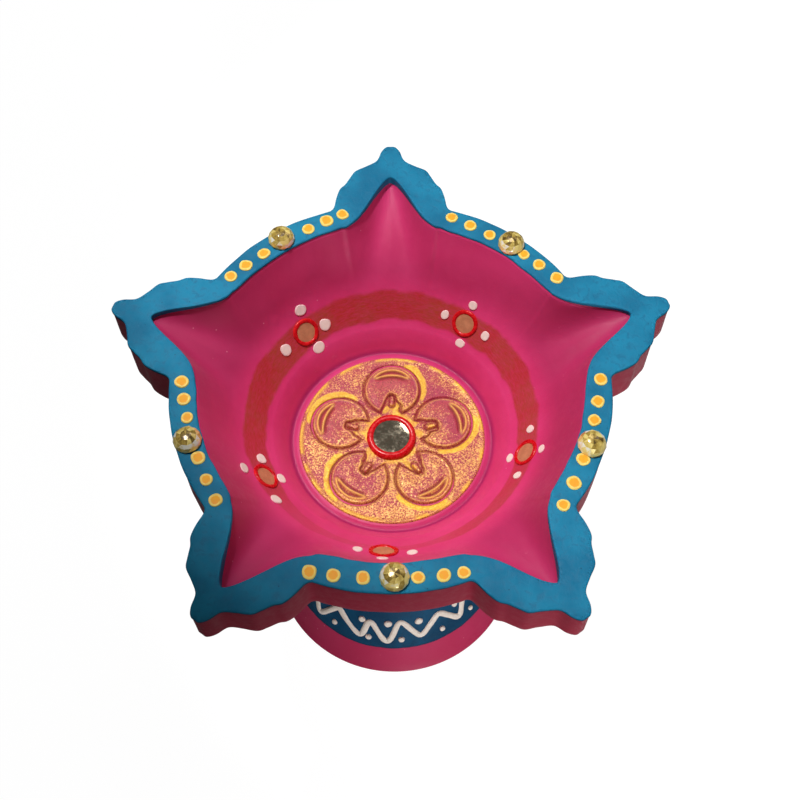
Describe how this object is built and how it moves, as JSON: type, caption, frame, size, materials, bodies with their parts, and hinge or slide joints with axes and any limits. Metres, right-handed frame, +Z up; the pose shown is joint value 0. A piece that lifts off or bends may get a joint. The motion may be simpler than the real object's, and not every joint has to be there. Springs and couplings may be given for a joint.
{
  "type": "diya oil lamp",
  "caption": "Star-shaped painted clay oil lamp on a flared foot, with a moulded flower in its bowl and mirror, stone and raised-paint trims.",
  "frame": {"origin": "centre of the foot's underside, on the table", "axes": "+Z up along the lamp's axis, +Y towards one star tip, +X to the right of it seen from above"},
  "size_m": [0.105, 0.0999, 0.0893],
  "materials": {
    "clay_pink": "hand-painted matt pink over fired clay",
    "blue_paint": "matt acrylic paint, brushed",
    "gold_relief": "grainy gold dry-brushed over pink relief",
    "mirror_glass": "small cut craft mirror",
    "red_bead": "glossy raised paint",
    "gold_stone": "clear faceted stone with a gold foil back",
    "yellow_dots": "satin raised paint",
    "white_line": "satin raised paint"
  },
  "bodies": {
    "root": {"star_bowl": "clay_pink", "pedestal_foot": "clay_pink", "rim_paint": "blue_paint", "foot_paint": "blue_paint", "floor_medallion": "gold_relief", "centre_mirror": "mirror_glass", "centre_bead": "red_bead", "zigzag_line": "white_line", "zigzag_low_dots": "white_line", "zigzag_high_dots": "white_line", "rhinestone_1": "gold_stone", "rhinestone_2": "gold_stone", "rhinestone_3": "gold_stone", "rhinestone_4": "gold_stone", "rhinestone_5": "gold_stone", "wall_mirror_1": "mirror_glass", "wall_mirror_2": "mirror_glass", "wall_mirror_3": "mirror_glass", "wall_mirror_4": "mirror_glass", "wall_mirror_5": "mirror_glass", "wall_bead_1": "red_bead", "wall_bead_2": "red_bead", "wall_bead_3": "red_bead", "wall_bead_4": "red_bead", "wall_bead_5": "red_bead", "wall_dabs_1": "white_line", "wall_dabs_2": "white_line", "wall_dabs_3": "white_line", "wall_dabs_4": "white_line", "wall_dabs_5": "white_line", "rim_dots_1": "yellow_dots", "rim_dots_2": "yellow_dots", "rim_dots_3": "yellow_dots", "rim_dots_4": "yellow_dots", "rim_dots_5": "yellow_dots"}
  },
  "joints": []
}
